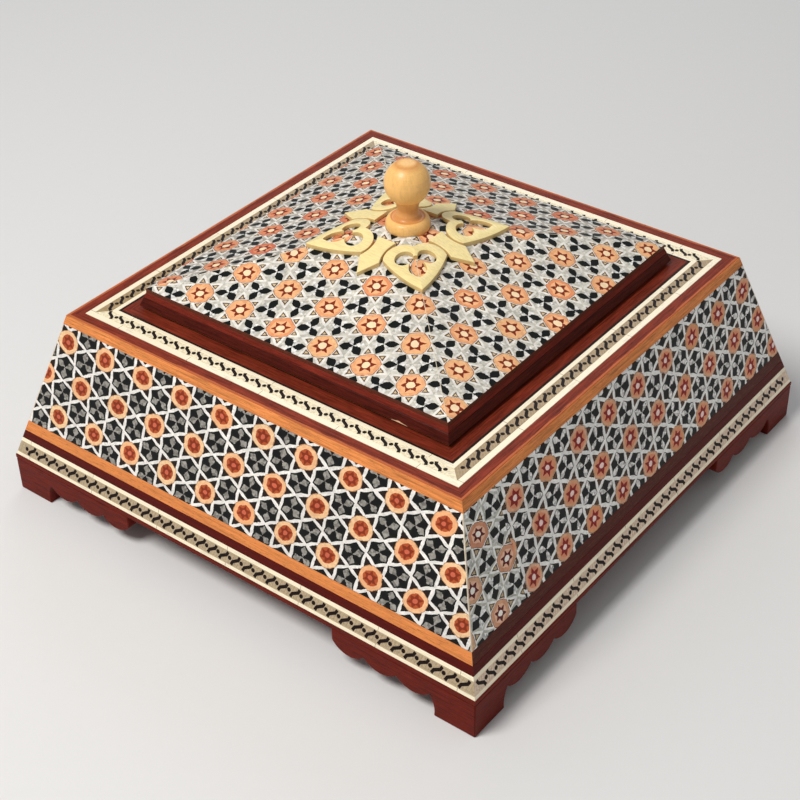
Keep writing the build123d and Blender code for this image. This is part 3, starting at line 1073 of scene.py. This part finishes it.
def knob_profile(low, high):
    """Radius and height of the turned knob from its spigot to the flat on its ball, in metres.

    Its sizes are shares of the ball's radius."""
    ball = 0.5 * (high.x - low.x)
    spigot = 0.385 * ball
    neck = 0.442 * ball
    collar = 0.564 * ball
    cap = 0.28 * ball
    crown = 1.5 * cap
    centre = high.z - sqrt(ball ** 2 - cap ** 2)
    seat = high.z - 3.115 * ball
    base_top = seat + 0.538 * ball
    collar_height = centre - sqrt(ball ** 2 - collar ** 2)
    points = [(0, low.z), (spigot, low.z), (spigot, seat), *knob_base(ball, seat, base_top)]
    waist = base_top + 0.33 * (collar_height - base_top)
    for step in range(1, 9):
        share = step / 9
        height = waist + (collar_height - waist) * share
        points.append((neck + (collar - neck) * share ** 1.6, height))
    points.append((collar, collar_height))
    points.append((collar + 0.02 * ball, collar_height + 0.01 * ball))
    first = -sqrt(1 - (collar / ball) ** 2)
    last = sqrt(1 - (crown / ball) ** 2)
    for step in range(1, 25):
        share = first + (last - first) * step / 24
        points.append((ball * sqrt(1 - share ** 2), centre + ball * share))
    drop = high.z - centre - ball * last
    points += [(crown * share, high.z - drop * share ** 2) for share in (0.85, 0.7, 0.55, 0.4, 0.2, 0.0)]
    return points


class BuildKnob(bpy.types.Operator):
    """Turn the knob."""

    bl_idname = "dish.knob"
    bl_label = "Knob"

    def execute(self, context):
        low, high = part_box("knob")
        honey = turned_finish("knob_wood", context.scene.dish_woods.knob)
        mesh = lathe_mesh("knob_turned", knob_profile(low, high))
        piece_from_mesh("knob_turned", mesh, "lid", honey, "knob_wood", "knob")
        return {"FINISHED"}


def add_lamp(name, place, target, size, power, colour):
    """A round area lamp at a place, aimed at a target."""
    lamp = bpy.data.lights.new(name, "AREA")
    lamp.shape = "DISK"
    lamp.size = size
    lamp.energy = power
    lamp.color = colour
    holder = bpy.data.objects.new(name, lamp)
    bpy.context.scene.collection.objects.link(holder)
    holder.location = place
    holder.rotation_euler = (target - place).to_track_quat("-Z", "Y").to_euler()


class BuildStage(bpy.types.Operator):
    """Set the floor, the lamps, the world and the camera."""

    bl_idname = "dish.stage"
    bl_label = "Stage"

    def execute(self, context):
        settings = context.scene.dish_stage
        self.add_floor(settings)
        middle = Vector((0, 0, 0.05))
        key = middle + KEY_DISTANCE * Vector(KEY_DIRECTION).normalized()
        back = middle + Vector(BACK_LAMP_OFFSET)
        add_lamp("key_lamp", key, middle, KEY_SIZE, settings.key_power, KEY_COLOUR)
        add_lamp("back_lamp", back, middle, BACK_LAMP_SIZE, settings.back_power, BACK_LAMP_COLOUR)
        self.add_world(settings)
        self.add_camera(context, settings)
        context.scene.view_settings.view_transform = "Standard"
        return {"FINISHED"}

    def add_floor(self, settings):
        """A plain matt floor."""
        work = bmesh.new()
        bmesh.ops.create_grid(work, x_segments=1, y_segments=1, size=FLOOR_HALF)
        mesh = bpy.data.meshes.new("floor")
        work.to_mesh(mesh)
        work.free()
        finish = Finish("floor_paint")
        finish.set("Roughness", 0.9)
        x, y, z = finish.place()
        speckle = finish.noise(finish.vector(x, y, z), 0.2, 2.0)
        paint = finish.ramp(speckle, (0.0, toned(settings.floor, 0.985)), (1.0, settings.floor))
        finish.set("Base Color", paint)
        floor = bpy.data.objects.new("floor", mesh)
        bpy.context.scene.collection.objects.link(floor)
        mesh.materials.append(finish.material)

    def add_world(self, settings):
        """Even white light from all round."""
        world = bpy.data.worlds.new("studio")
        world.use_nodes = True
        sky = world.node_tree.nodes["Background"]
        sky.inputs["Color"].default_value = (1.0, 1.0, 1.0, 1.0)
        sky.inputs["Strength"].default_value = settings.world_strength
        bpy.context.scene.world = world

    def add_camera(self, context, settings):
        """The camera, placed and turned as it was for the photograph."""
        camera = bpy.data.cameras.new("camera")
        camera.lens = settings.lens
        camera.sensor_width = SENSOR_WIDTH
        holder = bpy.data.objects.new("camera", camera)
        context.scene.collection.objects.link(holder)
        holder.location = settings.camera_place
        holder.rotation_euler = settings.camera_turn
        context.scene.camera = holder


class DISH_PT_panel(bpy.types.Panel):
    """Lists the dish's settings and builders in the sidebar."""

    bl_label = "Inlaid candy dish"
    bl_space_type = "VIEW_3D"
    bl_region_type = "UI"
    bl_category = "Dish"

    def draw(self, context):
        for group in (context.scene.dish_woods, context.scene.dish_mosaic, context.scene.dish_stage):
            column = self.layout.column()
            for name in group.__annotations__:
                column.prop(group, name)
        for operator in OPERATORS:
            self.layout.operator(operator.bl_idname)


OPERATORS = (BuildCarcass, BuildFeet, BuildWallStrips, BuildWallMosaic, BuildRim, BuildZigzags, BuildLid,
             BuildRoofMosaic, BuildFretwork, BuildKnob, BuildStage)
GROUPS = {"dish_woods": WoodSettings, "dish_mosaic": MosaicSettings, "dish_stage": StageSettings}


def register():
    """Adds the classes and the scene's settings groups to Blender."""
    for kind in (*GROUPS.values(), *OPERATORS, DISH_PT_panel):
        bpy.utils.register_class(kind)
    for name, kind in GROUPS.items():
        setattr(bpy.types.Scene, name, bpy.props.PointerProperty(type=kind))


def unregister():
    """Takes them out again."""
    for name in GROUPS:
        delattr(bpy.types.Scene, name)
    for kind in (DISH_PT_panel, *reversed(OPERATORS), *reversed(list(GROUPS.values()))):
        bpy.utils.unregister_class(kind)


def main():
    """Builds every piece and the stage."""
    register()
    for operator in OPERATORS:
        family, action = operator.bl_idname.split(".")
        getattr(getattr(bpy.ops, family), action)()


if __name__ == "__main__":
    main()
